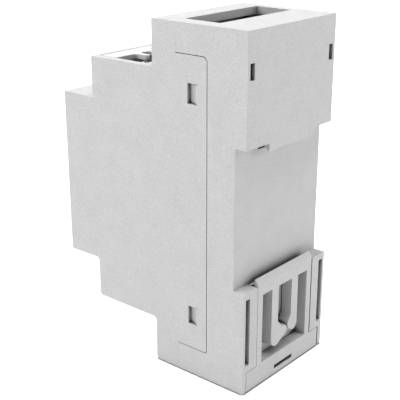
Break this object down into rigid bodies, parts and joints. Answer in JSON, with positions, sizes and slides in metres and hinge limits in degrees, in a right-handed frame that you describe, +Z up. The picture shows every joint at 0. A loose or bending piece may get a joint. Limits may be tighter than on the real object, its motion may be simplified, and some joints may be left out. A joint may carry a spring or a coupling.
{
  "type": "din rail enclosure",
  "caption": "Snap-together enclosure for a mounting rail, with stepped sides, wire windows, terminal guards and a sliding spring clip at the foot.",
  "frame": {"origin": "middle of the overall footprint, at the height of the foot", "axes": "+Z up, +Y back towards the mounting rail, +X along the rail"},
  "size_m": [0.035, 0.0604, 0.09],
  "materials": {
    "base_shell": "fine matte moulded grain",
    "cover_shell": "fine matte moulded grain",
    "front_panel": "fine matte moulded grain",
    "terminal_guard": "fine matte moulded grain",
    "rail_clip": "matte moulded"
  },
  "bodies": {
    "housing": {"base_shell": "base_shell", "cover_shell": "cover_shell", "front_panel": "front_panel", "terminal_guard_upper": "terminal_guard", "terminal_guard_lower": "terminal_guard"},
    "clip": {"rail_clip": "rail_clip"}
  },
  "joints": [
    {"name": "clip_slide", "type": "slide", "parent": "housing", "child": "clip", "axis": [0, 0, 1], "range_m": [-0.0035, 0], "stiffness_N_per_m": 1500, "springref_m": 0.002}
  ]
}
